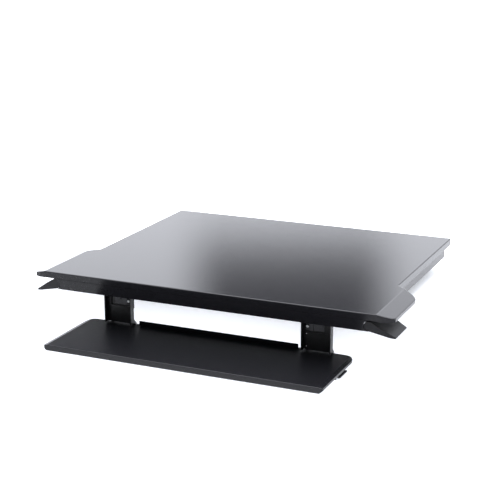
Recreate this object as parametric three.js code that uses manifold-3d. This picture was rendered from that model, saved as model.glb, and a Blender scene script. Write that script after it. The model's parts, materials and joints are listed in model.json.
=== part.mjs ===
// Sit-stand desk converter: a worksurface on a scissor lift, with a keyboard tray hung in front of the desk.
// Millimetres. +Z is up, -Y faces the user, z = 0 is the desktop the converter stands on.

import * as THREE from 'three';
import { mergeVertices } from 'three/addons/utils/BufferGeometryUtils.js';
import Module from 'manifold-3d';

const wasm = await Module();
wasm.setup();

const part = new THREE.Group();
part.name = 'standing_desk_converter';

// ---------------------------------------------------------------- driving dimensions

const sides = [['left', -1], ['right', 1]];

// Worksurface
const topZ = 80;                       // top face above the desktop, lowered
const slabThickness = 17.5;
const slabBottomZ = topZ - slabThickness;
const frontY = -195;                   // front edge of the worksurface
const backY = frontY + 679;
const slabHalfWidth = 395;
const creaseX = 417;                   // where the wings start to slope down
const tipX = 454;
const tipDrop = 10;
const tipThickness = 8.5;
const wingBackY = frontY + 190;        // back corner of each wing
const frontLean = 16 / 46;             // how far the front face leans in per millimetre of depth
const fasciaBottomZ = 34;
const joinGap = 0.3;

// Scissor lift
const armLength = 430;                 // pivot to pivot
const rearPivotY = 430;
const lowerPivotZ = 18.5;
const upperPivotZ = 47;
const restRise = upperPivotZ - lowerPivotZ;
const frontPivotY = rearPivotY - Math.sqrt(armLength ** 2 - restRise ** 2);
const armHalfHeight = 9.5;
const armThickness = 6;
const outerArmX = 290;                 // inner face of the outer arms
const innerArmX = 281;                 // inner face of the inner arms
const pivotRadius = 4;
const runningGap = 0.12;

// Base and platform rails
const railInnerX = 299;
const railOuterX = 321;
const railWall = 3;
const railHalfHeight = 10;
const railFrontY = -15;
const railBackY = 441;
const footHeight = 3;
const basePlateTopZ = lowerPivotZ - railHalfHeight - 0.2;
const platePlaneZ = upperPivotZ + railHalfHeight + 0.2;

// Gas springs
const springX = 150;
const crankRadius = 30;
const crankRestAngle = THREE.MathUtils.degToRad(30);
const springAxisZ = upperPivotZ - crankRadius * (1 + Math.cos(crankRestAngle)) / 2;

// Lift levers
const leverAxis = { x: 397, z: 47 };
const leverHubRadius = 12.5;
const leverFrontY = frontY + 25;
const leverBackY = leverFrontY + 78;
const leverTip = [453, 24];

// Tray and its uprights
const uprightX = 255;
const uprightHalfWidth = 36;
const uprightFrontY = frontY + 62;
const uprightBackY = uprightFrontY + 16;
const sheet = 2.5;
const trayTopZ = topZ - 132;
const uprightBottomZ = trayTopZ + 2.2;
const trayThickness = 14;
const trayBottomZ = trayTopZ - trayThickness;
const trayHalfWidth = 344.5;
const trayFrontY = frontY - 129.5;
const trayBackY = frontY + 82;
const tiltAxis = { y: trayBackY + 11.5, z: trayTopZ - trayThickness / 2 };
const tiltKnuckleRadius = 8;

// ---------------------------------------------------------------- looks

const blackTop = { color: 0x26262a, roughness: 0.35, metalness: 0 };
const blackPlastic = { color: 0x1e1e21, roughness: 0.5, metalness: 0 };
const blackPaint = { color: 0x17171a, roughness: 0.45, metalness: 0.2 };
const greyPaint = { color: 0x3c3d40, roughness: 0.5, metalness: 0.3 };
const zinc = { color: 0xb4b6b8, roughness: 0.35, metalness: 1 };
const polished = { color: 0xd6d8da, roughness: 0.12, metalness: 1 };
const nylon = { color: 0xd9d7cf, roughness: 0.6, metalness: 0 };
const rubber = { color: 0x101011, roughness: 0.9, metalness: 0 };

// ---------------------------------------------------------------- geometry helpers

function addPart(name, geometry, look) {
  const mesh = new THREE.Mesh(geometry, new THREE.MeshStandardMaterial(look));
  mesh.name = name;
  part.add(mesh);
}

function withoutExtras(geometry) {
  const plain = geometry.clone();
  plain.deleteAttribute('normal');
  plain.deleteAttribute('uv');
  return mergeVertices(plain, 1e-4);
}

function turned(geometry, xAxis, yAxis, zAxis, origin) {
  const matrix = new THREE.Matrix4().makeBasis(
    new THREE.Vector3(...xAxis), new THREE.Vector3(...yAxis), new THREE.Vector3(...zAxis));
  matrix.setPosition(...origin);
  return geometry.clone().applyMatrix4(matrix);
}

function reversed(geometry) {
  const flipped = geometry.index ? geometry.toNonIndexed() : geometry.clone();
  for (const attribute of Object.values(flipped.attributes)) {
    const { array, itemSize } = attribute;
    for (let corner = 0; corner < attribute.count; corner += 3) {
      for (let item = 0; item < itemSize; item++) {
        const second = (corner + 1) * itemSize + item;
        const third = (corner + 2) * itemSize + item;
        [array[second], array[third]] = [array[third], array[second]];
      }
    }
  }
  return flipped;
}

// The mirror image across the plane x = 0.
function mirrored(geometry) {
  return reversed(geometry.clone().scale(-1, 1, 1));
}

// One piece for each side: the geometry is drawn for the right and mirrored for the left.
function addPair(name, geometry, look) {
  for (const [sideName, side] of sides) {
    addPart(`${name}_${sideName}`, side > 0 ? geometry : mirrored(geometry), look);
  }
}

function box(x, y, z) {
  const geometry = new THREE.BoxGeometry(x[1] - x[0], y[1] - y[0], z[1] - z[0]);
  return geometry.translate((x[0] + x[1]) / 2, (y[0] + y[1]) / 2, (z[0] + z[1]) / 2);
}

function extruded(shape, depth, curveSegments) {
  return new THREE.ExtrudeGeometry(shape, { depth, bevelEnabled: false, steps: 1, curveSegments });
}

// A shape drawn in (y, z), extruded from x[0] to x[1].
function prismX(shape, x, curveSegments = 8) {
  return turned(extruded(shape, x[1] - x[0], curveSegments), [0, 1, 0], [0, 0, 1], [1, 0, 0], [x[0], 0, 0]);
}

// A shape drawn in (x, z), extruded from y[0] to y[1].
function prismY(shape, y, curveSegments = 8) {
  return turned(extruded(shape, y[1] - y[0], curveSegments), [1, 0, 0], [0, 0, 1], [0, -1, 0], [0, y[1], 0]);
}

// A shape drawn in (x, y), extruded from z[0] to z[1].
function prismZ(shape, z, curveSegments = 8) {
  return extruded(shape, z[1] - z[0], curveSegments).translate(0, 0, z[0]);
}

function polygon(points) {
  return new THREE.Shape(points.map(([u, v]) => new THREE.Vector2(u, v)));
}

function circlePath(u, v, radius) {
  return new THREE.Path().absarc(u, v, radius, 0, Math.PI * 2, true);
}

function disc(u, v, radius, holeRadius = 0) {
  const shape = new THREE.Shape().absarc(u, v, radius, 0, Math.PI * 2, false);
  if (holeRadius > 0) {
    shape.holes.push(circlePath(u, v, holeRadius));
  }
  return shape;
}

// The outline of a bar with round ends, which may differ in radius, and round holes at [u, v, radius].
function linkShape(from, to, fromRadius, toRadius, holes = []) {
  const length = Math.hypot(to[0] - from[0], to[1] - from[1]);
  const angle = Math.atan2(to[1] - from[1], to[0] - from[0]);
  const spread = Math.acos((fromRadius - toRadius) / length);
  const shape = new THREE.Shape();
  shape.absarc(to[0], to[1], toRadius, angle - spread, angle + spread, false);
  shape.absarc(from[0], from[1], fromRadius, angle + spread, angle - spread + Math.PI * 2, false);
  shape.closePath();
  holes.forEach(([u, v, radius]) => shape.holes.push(circlePath(u, v, radius)));
  return shape;
}

function rodX(radius, x, y, z, segments = 8) {
  return prismX(disc(y, z, radius), x, segments);
}

function rodY(radius, y, x, z, segments = 8) {
  return prismY(disc(x, z, radius), y, segments);
}

// A turned body: profile points are [radius, distance along the axis], and the axis points along +Y.
function latheY(profile, x, z, segments = 24) {
  const points = profile.map(([radius, along]) => new THREE.Vector2(radius, along));
  return new THREE.LatheGeometry(points, segments).translate(x, 0, z);
}

function toSolid(geometry) {
  const merged = withoutExtras(geometry);
  const vertProperties = new Float32Array(merged.attributes.position.array);
  const triVerts = new Uint32Array(merged.index.array);
  return new wasm.Manifold(new wasm.Mesh({ numProp: 3, vertProperties, triVerts }));
}

function fromSolid(solid) {
  const { vertProperties, triVerts } = solid.getMesh();
  const geometry = new THREE.BufferGeometry();
  geometry.setAttribute('position', new THREE.BufferAttribute(new Float32Array(vertProperties), 3));
  geometry.setIndex(new THREE.BufferAttribute(new Uint32Array(triVerts), 1));
  return geometry;
}

function joined(...geometries) {
  return fromSolid(geometries.map(toSolid).reduce((whole, piece) => whole.add(piece)));
}

function common(...geometries) {
  return fromSolid(geometries.map(toSolid).reduce((whole, piece) => whole.intersect(piece)));
}

function cut(geometry, ...tools) {
  return fromSolid(tools.map(toSolid).reduce((whole, tool) => whole.subtract(tool), toSolid(geometry)));
}

function frontFaceY(z) {
  return frontY + frontLean * (topZ - z);
}

// ---------------------------------------------------------------- worksurface

// Across the converter: flat in the middle, thinning and sloping down into the two wings.
function worksurfaceSection() {
  const half = [
    [creaseX - 2.5, topZ],
    [creaseX, topZ - 0.2],
    [creaseX + 2.5, topZ - 0.8],
    [tipX - 1.5, topZ - tipDrop + 0.4],
    [tipX, topZ - tipDrop - 1.4],
    [tipX, topZ - tipDrop - tipThickness + 2],
    [tipX - 2, topZ - tipDrop - tipThickness],
    [creaseX, slabBottomZ],
  ];
  const otherHalf = half.map(([x, z]) => [-x, z]).reverse();
  return polygon([...half, ...otherHalf].reverse());
}

// Seen from above: a rectangle with a wing at each front corner, run out to the back in an S-curve.
function worksurfacePlan() {
  const cornerRadius = 6;
  const notchY = frontY + 227;
  const shape = new THREE.Shape();
  shape.moveTo(0, frontY);
  shape.lineTo(creaseX - 7, frontY);
  shape.bezierCurveTo(creaseX + 11, frontY + 2, tipX - 14, frontY + 9, tipX - 6, frontY + 13);
  shape.quadraticCurveTo(tipX, frontY + 17, tipX, frontY + 26);
  shape.lineTo(tipX, wingBackY - 32);
  shape.quadraticCurveTo(tipX, wingBackY - 19, tipX - 4, wingBackY - 13);
  shape.bezierCurveTo(tipX - 14, wingBackY + 3, creaseX + 9, wingBackY + 9, creaseX - 1, wingBackY + 16);
  shape.bezierCurveTo(creaseX - 10, wingBackY + 24, slabHalfWidth + 4, notchY - 6, slabHalfWidth, notchY);
  shape.lineTo(slabHalfWidth, backY - cornerRadius);
  shape.quadraticCurveTo(slabHalfWidth, backY, slabHalfWidth - cornerRadius, backY);
  shape.lineTo(0, backY);
  const half = shape.getPoints(7);
  const otherHalf = half.slice(1, -1).map((point) => new THREE.Vector2(-point.x, point.y)).reverse();
  return new THREE.Shape([...half, ...otherHalf]);
}

// From the front to the back: the front face leans in and its top edge is rounded.
function worksurfaceProfile() {
  const edgeRadius = 2.5;
  const below = slabBottomZ - 20;
  return polygon([
    [frontFaceY(below), below],
    [backY + 10, below],
    [backY + 10, topZ],
    [frontY + edgeRadius, topZ],
    [frontY + 0.3 * edgeRadius, topZ - 0.3 * edgeRadius],
    [frontFaceY(topZ - edgeRadius), topZ - edgeRadius],
  ]);
}

addPart('worksurface', common(
  prismY(worksurfaceSection(), [frontY - 10, backY + 10]),
  prismZ(worksurfacePlan(), [0, topZ + 10]),
  prismX(worksurfaceProfile(), [-tipX - 10, tipX + 10]),
), blackTop);

// The front fascia is a channel hung under the front edge, with a hollow at each end for a lever's hub.
function frontFascia() {
  const wall = 4;
  const top = slabBottomZ - joinGap;
  const profile = polygon([
    [frontFaceY(fasciaBottomZ), fasciaBottomZ],
    [frontFaceY(fasciaBottomZ) + 15, fasciaBottomZ],
    [frontFaceY(fasciaBottomZ) + 15, fasciaBottomZ + 3],
    [frontFaceY(fasciaBottomZ) + wall + 0.5, fasciaBottomZ + 3],
    [frontFaceY(top - sheet) + wall, top - sheet],
    [frontFaceY(top) + 27, top - sheet],
    [frontFaceY(top) + 27, top],
    [frontFaceY(top), top],
  ]);
  const endX = leverAxis.x - 3;
  const hubHollow = (side) => rodY(
    leverHubRadius + 1, [frontY - 10, frontY + 60], side * leverAxis.x, leverAxis.z, 12);
  return cut(prismX(profile, [-endX, endX]), hubHollow(-1), hubHollow(1));
}

addPart('front_fascia', frontFascia(), blackTop);

// ---------------------------------------------------------------- platform frame under the worksurface

const skirtX = 384;
const skirtBottomZ = 35;
const skirtFrontY = leverBackY + 12;
const skirtBackY = 455;

function skirtSection() {
  const top = slabBottomZ - joinGap;
  return polygon([
    [skirtX - 18, top - sheet],
    [skirtX, top - sheet],
    [skirtX, skirtBottomZ],
    [skirtX + 3, skirtBottomZ],
    [skirtX + 3, top],
    [skirtX - 18, top],
  ]);
}

addPair('side_skirt', prismY(skirtSection(), [skirtFrontY, skirtBackY]), blackPaint);

addPart('rear_skirt', box(
  [-skirtX + joinGap, skirtX - joinGap], [skirtBackY - 3, skirtBackY], [skirtBottomZ, slabBottomZ - sheet - 2 * joinGap],
), blackPaint);

// C-channel open towards the middle of the converter.
function railSection(centreZ) {
  const low = centreZ - railHalfHeight;
  const high = centreZ + railHalfHeight;
  return polygon([
    [railInnerX, low],
    [railOuterX, low],
    [railOuterX, high],
    [railInnerX, high],
    [railInnerX, high - railWall],
    [railOuterX - railWall, high - railWall],
    [railOuterX - railWall, low + railWall],
    [railInnerX, low + railWall],
  ]);
}

// A rail with its arm's pivot stub welded to the web: thin through the arm, thick up to the web.
function railWithStub(centreZ, armX) {
  const shoulderX = armX + armThickness + 0.4;
  return joined(
    prismY(railSection(centreZ), [railFrontY, railBackY]),
    rodX(pivotRadius, [armX + 0.4, shoulderX + 1], rearPivotY, centreZ),
    rodX(6.5, [shoulderX, railOuterX - 1], rearPivotY, centreZ));
}

addPair('platform_rail', railWithStub(upperPivotZ, innerArmX), greyPaint);
addPair('base_rail', railWithStub(lowerPivotZ, outerArmX), blackPaint);

const platformPlates = { front: [-15, 45], rear: [345, 405] };
const basePlates = { front: [-20, 40], rear: [385, 445] };

for (const [name, y] of Object.entries(platformPlates)) {
  addPart(`platform_cross_plate_${name}`, box([-railOuterX, railOuterX], y, [platePlaneZ, slabBottomZ]), greyPaint);
}
for (const [name, y] of Object.entries(basePlates)) {
  addPart(`base_cross_plate_${name}`, box([-railOuterX, railOuterX], y, [footHeight, basePlateTopZ]), blackPaint);
}

addPart('foot_strip_front', box([-300, 300], [-15, 15], [0, footHeight]), rubber);
addPart('foot_strip_rear', box([-300, 300], [400, 430], [0, footHeight]), rubber);

// ---------------------------------------------------------------- scissor arms

const lowerRear = [rearPivotY, lowerPivotZ];
const upperRear = [rearPivotY, upperPivotZ];
const lowerFront = [frontPivotY, lowerPivotZ];
const upperFront = [frontPivotY, upperPivotZ];
const middle = [(rearPivotY + frontPivotY) / 2, (lowerPivotZ + upperPivotZ) / 2];
const middlePinRadius = 5;

function armShape(from, to) {
  return linkShape(from, to, armHalfHeight, armHalfHeight, [
    [...from, pivotRadius + runningGap],
    [...to, pivotRadius + runningGap],
    [...middle, middlePinRadius + runningGap],
  ]);
}

addPair('outer_arm', prismX(armShape(lowerRear, upperFront), [outerArmX, outerArmX + armThickness]), greyPaint);
addPair('inner_arm', prismX(armShape(lowerFront, upperRear), [innerArmX, innerArmX + armThickness]), greyPaint);

const railWebX = railOuterX - railWall;
const rollerRadius = railHalfHeight - railWall - 0.3;
const rollerX = [railInnerX + 1, railWebX - 2];

// A full-width shaft joins the two arms of a pair at their sliding end.
addPart('upper_roller_shaft', rodX(pivotRadius, [-railWebX + 1, railWebX - 1], ...upperFront), zinc);
addPart('lower_roller_shaft', rodX(pivotRadius, [-railWebX + 1, railWebX - 1], ...lowerFront), zinc);

function roller(centre) {
  return prismX(disc(...centre, rollerRadius, pivotRadius + runningGap), rollerX);
}

addPair('upper_roller', roller(upperFront), nylon);
addPair('lower_roller', roller(lowerFront), nylon);

addPair('middle_pivot_pin', rodX(
  middlePinRadius, [innerArmX - 2, outerArmX + armThickness + 2], ...middle), zinc);

// ---------------------------------------------------------------- torsion tube, cranks and gas springs

const tubeRadius = 8;
const crankPin = [
  rearPivotY - crankRadius * Math.sin(crankRestAngle),
  upperPivotZ - crankRadius * Math.cos(crankRestAngle),
];
const crankPinRadius = 3;
const fork = { cheekIn: 4.5, cheekOut: 8.5, toTip: 10, toBridge: 15, bridgeLength: 8, halfHeight: 8.5 };

addPart('torsion_tube', rodX(tubeRadius, [-innerArmX + joinGap, innerArmX - joinGap], ...upperRear, 6), zinc);

// A plate clamped on the torsion tube, with a pin through its end for the gas spring's fork.
function crank() {
  const plate = linkShape(upperRear, crankPin, 12, 6.5, [[...upperRear, tubeRadius + runningGap]]);
  const pinReach = fork.cheekOut + 2;
  return joined(
    prismX(plate, [springX - 3, springX + 3], 6),
    rodX(crankPinRadius, [springX - pinReach, springX + pinReach], ...crankPin, 5));
}

addPair('crank', crank(), greyPaint);

// The cylinder ends in a fork whose upright slots let the crank pin swing while the spring stays straight.
function springCylinder(x) {
  const bodyEnd = crankPin[0] - fork.toBridge - fork.bridgeLength;
  const bodyStart = bodyEnd - 96;
  const body = latheY([
    [4.2, bodyStart],
    [9, bodyStart],
    [9, bodyEnd],
    [0, bodyEnd],
    [0, bodyEnd - 4],
    [7.2, bodyEnd - 4],
    [7.2, bodyStart + 4],
    [4.2, bodyStart + 4],
    [4.2, bodyStart],
  ], x, springAxisZ);
  const z = [springAxisZ - fork.halfHeight, springAxisZ + fork.halfHeight];
  const forkEnd = crankPin[0] + fork.toTip;
  const bridge = box([x - fork.cheekOut, x + fork.cheekOut], [bodyEnd - 0.5, bodyEnd + fork.bridgeLength], z);
  const cheeks = [-1, 1].map((side) => {
    const faces = [x + side * fork.cheekIn, x + side * fork.cheekOut].sort((a, b) => a - b);
    return box(faces, [bodyEnd + fork.bridgeLength - 1, forkEnd], z);
  });
  const slotHalfLength = crankRadius * (1 - Math.cos(crankRestAngle)) / 2 + 0.5;
  const slot = linkShape(
    [crankPin[0], springAxisZ - slotHalfLength], [crankPin[0], springAxisZ + slotHalfLength],
    crankPinRadius + 0.5, crankPinRadius + 0.5);
  return cut(joined(body, bridge, ...cheeks), prismX(slot, [x - 20, x + 20], 6));
}

const bracketY = [262, 267];
const springRodEndY = crankPin[0] - 50;

function springRod(x) {
  return latheY([
    [0, bracketY[0] - 1],
    [4, bracketY[0] - 1],
    [4, springRodEndY],
    [6.9, springRodEndY],
    [6.9, springRodEndY + 6],
    [0, springRodEndY + 6],
  ], x, springAxisZ);
}

addPair('gas_spring_cylinder', springCylinder(springX), blackPaint);
addPair('gas_spring_rod', springRod(springX), polished);

// ---------------------------------------------------------------- spring brackets and release rockers

const rockerPivot = { y: 254, z: 38 };
const rockerHalfWidth = 4;
const rockerPinRadius = 2.9;

function springBracket(x) {
  const top = slabBottomZ - joinGap;
  const plate = box([x - 16, x + 16], bracketY, [springAxisZ - 8, top]);
  const flange = box([x - 16, x + 16], [bracketY[0], 297], [top - sheet, top]);
  const ear = (side) => {
    const faces = [x + side * (rockerHalfWidth + 0.5), x + side * (rockerHalfWidth + 3.5)].sort((a, b) => a - b);
    return cut(
      box(faces, [rockerPivot.y - 6, bracketY[0] + 1], [rockerPivot.z - 6, rockerPivot.z + 6]),
      rodX(rockerPinRadius + runningGap, [faces[0] - 1, faces[1] + 1], rockerPivot.y, rockerPivot.z, 6));
  };
  const whole = joined(plate, flange, ear(-1), ear(1));
  return cut(whole, rodY(4 + runningGap, [bracketY[0] - 5, bracketY[1] + 5], x, springAxisZ));
}

// A bar pushed at the top by the cable and pressing on the spring's rod below, with its trunnions.
function releaseRocker(x) {
  const bar = linkShape([rockerPivot.y, springAxisZ - 1], [rockerPivot.y, 58.5], 3, 3);
  return joined(
    prismX(bar, [x - rockerHalfWidth, x + rockerHalfWidth], 5),
    rodX(5.2, [x - rockerHalfWidth, x + rockerHalfWidth], rockerPivot.y, rockerPivot.z, 6),
    rodX(rockerPinRadius, [x - rockerHalfWidth - 4.5, x + rockerHalfWidth + 4.5], rockerPivot.y, rockerPivot.z, 6));
}

addPair('release_rocker', releaseRocker(springX), zinc);
addPair('spring_bracket', springBracket(springX), greyPaint);

// ---------------------------------------------------------------- lift levers

const leverPinRadius = 3;
const earY = [[leverFrontY + 23, leverFrontY + 29], [leverBackY + 2, leverBackY + 7]];

// Hub on the pivot pin, and a wedge-shaped paddle that thins towards the tip. Its front end carries on
// the leaning front face and sweeps back towards the tip.
function liftLever() {
  const inset = 0.6;
  const paddle = linkShape([leverAxis.x, leverAxis.z], leverTip, leverHubRadius, 1.8);
  const leaning = polygon([
    [frontFaceY(0) + inset, 0],
    [leverBackY, 0],
    [leverBackY, topZ],
    [frontFaceY(topZ) + inset, topZ],
  ]);
  const swept = polygon([
    [leverAxis.x - 20, frontY],
    [leverAxis.x + 6, frontY + 5],
    [leverTip[0] + 6, leverFrontY + 2],
    [leverTip[0] + 6, leverBackY + 5],
    [leverAxis.x - 20, leverBackY + 5],
  ]);
  const whole = common(
    prismY(paddle, [frontY, leverBackY], 10),
    prismX(leaning, [leverAxis.x - 30, leverTip[0] + 10]),
    prismZ(swept, [0, topZ]));
  const bore = rodY(
    leverPinRadius + runningGap, [leverFrontY + 3, leverBackY + 1], leverAxis.x, leverAxis.z, 6);
  const earSlot = box(
    [leverAxis.x - 20, leverAxis.x + 16], [earY[0][0] - 1, earY[0][1] + 1],
    [leverAxis.z - 20, leverAxis.z + 20]);
  const scoop = prismY(
    linkShape([leverAxis.x + 22, leverTip[1] + 1], [leverTip[0] - 14, leverTip[1] - 3], 7, 4),
    [leverFrontY + 8, leverBackY - 8], 6);
  return cut(whole, bore, earSlot, scoop);
}

function leverBracket() {
  const top = slabBottomZ - joinGap;
  const flange = box([357, 383], [earY[0][0], earY[1][1]], [top - sheet, top]);
  const ears = earY.map((y) => {
    const arm = linkShape([370, top - 5], [leverAxis.x, leverAxis.z], 5, 7.5);
    return prismY(arm, y, 6);
  });
  const bore = rodY(leverPinRadius + runningGap, [earY[0][0] - 5, earY[1][1] + 5], leverAxis.x, leverAxis.z, 6);
  return cut(joined(flange, ...ears), bore);
}

addPair('lift_lever', liftLever(), blackPlastic);
addPair('lever_bracket', leverBracket(), greyPaint);
addPair('lever_pin', rodY(leverPinRadius, [leverFrontY + 3.5, earY[1][1] + 2], leverAxis.x, leverAxis.z, 6), zinc);

// ---------------------------------------------------------------- release cables

// Each cable runs from its lever's hub, over the front of the frame, to the top of its release rocker.
function releaseCable() {
  const path = new THREE.CatmullRomCurve3([
    new THREE.Vector3(382, -112, 38.5),
    new THREE.Vector3(366, -104, 40),
    new THREE.Vector3(334, -84, 48),
    new THREE.Vector3(290, -64, 54.3),
    new THREE.Vector3(220, -56, 54.3),
    new THREE.Vector3(172, -44, 54.3),
    new THREE.Vector3(151, -16, 54.3),
    new THREE.Vector3(springX, 20, 54.3),
    new THREE.Vector3(springX, 60, 54.6),
    new THREE.Vector3(springX, 110, 58),
    new THREE.Vector3(springX, 180, 58.5),
    new THREE.Vector3(springX, 247, 58.5),
  ], false, 'centripetal');
  const section = new THREE.Shape().absarc(0, 0, 2, 0, Math.PI * 2, false);
  return new THREE.ExtrudeGeometry(section, { extrudePath: path, steps: 44, curveSegments: 4, bevelEnabled: false });
}

addPair('release_cable', releaseCable(), rubber);

// ---------------------------------------------------------------- uprights and their sleeves

const slidingGap = 0.8;
const clampZ = [-4, 12.5];

function channelShape(centreX, halfWidth, yFront, yBack) {
  return polygon([
    [centreX - halfWidth, yFront],
    [centreX - halfWidth + sheet, yFront],
    [centreX - halfWidth + sheet, yBack - sheet],
    [centreX + halfWidth - sheet, yBack - sheet],
    [centreX + halfWidth - sheet, yFront],
    [centreX + halfWidth, yFront],
    [centreX + halfWidth, yBack],
    [centreX - halfWidth, yBack],
  ]);
}

// The sleeve hangs from the worksurface, and the upright slides up and down inside it. The sleeve's back
// reaches down behind the upright's window as a tongue that carries the clamp.
function uprightSleeve() {
  const halfWidth = uprightHalfWidth + slidingGap + sheet;
  const yBack = uprightBackY + slidingGap + sheet;
  const top = slabBottomZ - joinGap;
  const channel = prismZ(
    channelShape(uprightX, halfWidth, uprightFrontY + 2, yBack), [fasciaBottomZ + 1, top]);
  const tongue = box([uprightX - uprightHalfWidth, uprightX + 30], [yBack - sheet, yBack], [-12, top - 1]);
  const flange = box([uprightX - halfWidth, uprightX + halfWidth], [yBack - 1, yBack + 22], [top - sheet, top]);
  return joined(channel, tongue, flange);
}

function slidingUpright() {
  const shape = channelShape(uprightX, uprightHalfWidth, uprightFrontY, uprightBackY);
  const channel = prismZ(shape, [uprightBottomZ, slabBottomZ - 2]);
  const window = box([uprightX - 32, uprightX + 24], [uprightBackY - 10, uprightBackY + 5], [-7.5, 54]);
  return cut(channel, window);
}

// A clamp plate on the sleeve grips the upright through its window, with a screw to tighten it.
function heightClamp() {
  const back = uprightBackY + slidingGap - 0.1;
  return joined(
    box([uprightX - 30, uprightX + 15], [back - 0.8, back], clampZ),
    box([uprightX - 20.5, uprightX - 11], [back - 4, back - 0.4], clampZ),
    box([uprightX - 1.5, uprightX + 13.5], [back - 3, back - 0.4], [7, clampZ[1]]),
    rodY(3.6, [back - 5, back - 0.4], uprightX - 24.5, 6, 5));
}

const tiltPinRadius = 4;
const knuckleHalfWidth = 25;
const earHalfWidth = [27, 32];

// The upright with its hinge ears: two ears behind it carry the tilt rod behind the tray's back edge.
function upright() {
  const wallY = [uprightBackY - 1, uprightBackY + 4];
  const ear = new THREE.Shape();
  ear.moveTo(wallY[0], -20);
  ear.lineTo(wallY[0], -42);
  ear.lineTo(tiltAxis.y - tiltKnuckleRadius, -48);
  ear.lineTo(tiltAxis.y - tiltKnuckleRadius, tiltAxis.z);
  ear.absarc(tiltAxis.y, tiltAxis.z, tiltKnuckleRadius, Math.PI, Math.PI * 2, false);
  ear.lineTo(wallY[1], -38);
  ear.lineTo(wallY[1], -20);
  ear.closePath();
  ear.holes.push(circlePath(tiltAxis.y, tiltAxis.z, tiltPinRadius + runningGap));
  const ears = [-1, 1].map((side) => {
    const faces = earHalfWidth.map((offset) => uprightX + side * offset).sort((a, b) => a - b);
    return prismX(ear, faces);
  });
  return joined(slidingUpright(), ...ears);
}

addPair('upright_sleeve', uprightSleeve(), blackPaint);
addPair('upright', upright(), blackPaint);
addPair('height_clamp', heightClamp(), greyPaint);

// The tray's half of the hinge: a leaf screwed under the tray, rolled up into a knuckle round the rod.
function hingeLeaf() {
  const x = [uprightX - knuckleHalfWidth, uprightX + knuckleHalfWidth];
  const leaf = box(x, [trayBackY - 85, tiltAxis.y], [trayBottomZ - joinGap - sheet, trayBottomZ - joinGap]);
  const knuckle = prismX(disc(tiltAxis.y, tiltAxis.z, tiltKnuckleRadius), x);
  const bore = rodX(tiltPinRadius + runningGap, [x[0] - 1, x[1] + 1], tiltAxis.y, tiltAxis.z);
  return cut(joined(leaf, knuckle), bore);
}

addPair('tray_hinge_leaf', hingeLeaf(), blackPaint);
addPart('tilt_hinge_rod', rodX(tiltPinRadius, [-uprightX - 34, uprightX + 34], tiltAxis.y, tiltAxis.z), zinc);

// ---------------------------------------------------------------- keyboard tray

// The board's section across its width: rolled down at the ends, and undercut below them.
function roundedSection() {
  const rolled = 9;
  const undercut = 8;
  const undercutHeight = 6;
  const shape = new THREE.Shape();
  const x = trayHalfWidth;
  shape.moveTo(-x + undercut, trayBottomZ);
  shape.lineTo(x - undercut, trayBottomZ);
  shape.lineTo(x, trayBottomZ + undercutHeight);
  shape.quadraticCurveTo(x, trayTopZ, x - rolled, trayTopZ);
  shape.lineTo(-x + rolled, trayTopZ);
  shape.quadraticCurveTo(-x, trayTopZ, -x, trayBottomZ + undercutHeight);
  shape.closePath();
  return shape;
}

function trayPlan() {
  const frontRadius = 7;
  const backRadius = 30;
  const x = trayHalfWidth;
  const shape = new THREE.Shape();
  shape.moveTo(-x + frontRadius, trayFrontY);
  shape.lineTo(x - frontRadius, trayFrontY);
  shape.quadraticCurveTo(x, trayFrontY, x, trayFrontY + frontRadius);
  shape.lineTo(x, trayBackY - backRadius);
  shape.quadraticCurveTo(x, trayBackY, x - backRadius, trayBackY);
  shape.lineTo(-x + backRadius, trayBackY);
  shape.quadraticCurveTo(-x, trayBackY, -x, trayBackY - backRadius);
  shape.lineTo(-x, trayFrontY + frontRadius);
  shape.quadraticCurveTo(-x, trayFrontY, -x + frontRadius, trayFrontY);
  return shape;
}

// The tray board, with a low lip between the uprights that stops things sliding off the back.
function keyboardTray() {
  const board = common(
    prismY(roundedSection(), [trayFrontY - 5, trayBackY + 5], 5),
    prismZ(trayPlan(), [trayBottomZ - 5, trayTopZ + 5], 5));
  const lipHalfLength = uprightX - uprightHalfWidth - 13;
  const lipHeight = 10;
  const lip = box([-lipHalfLength, lipHalfLength], [trayBackY - 3, trayBackY], [trayTopZ - 1, trayTopZ + lipHeight]);
  return joined(board, lip);
}

addPart('keyboard_tray', keyboardTray(), blackTop);

// ---------------------------------------------------------------- tilt release under the tray

const paddleAxis = { x: 322, z: trayBottomZ - 6 };
const paddleY = [frontY - 9, frontY + 37];
const releaseBar = { y: -180, z: trayBottomZ - 16 };
const releaseBarRadius = 2;
const tailHalfLength = 3;

// A flat tab in reach under the tray's end. Lifting it swings its forked tail, which straddles the
// release bar and pulls it by its head.
function tiltPaddle() {
  const tab = box([paddleAxis.x, trayHalfWidth - 3.5], paddleY, [paddleAxis.z - 1.5, paddleAxis.z + 1.5]);
  const hub = rodY(4, paddleY, paddleAxis.x, paddleAxis.z, 6);
  const trunnions = rodY(2, [paddleY[0] - 7, paddleY[1] + 7], paddleAxis.x, paddleAxis.z, 5);
  const tail = box(
    [paddleAxis.x - tailHalfLength, paddleAxis.x + tailHalfLength], [releaseBar.y - 7, releaseBar.y + 7],
    [releaseBar.z - 4, paddleAxis.z]);
  const slot = box(
    [paddleAxis.x - 10, paddleAxis.x + 10], [releaseBar.y - 3.5, releaseBar.y + 3.5],
    [releaseBar.z - 10, releaseBar.z + 4]);
  return cut(joined(tab, hub, tail, trunnions), slot);
}

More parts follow.
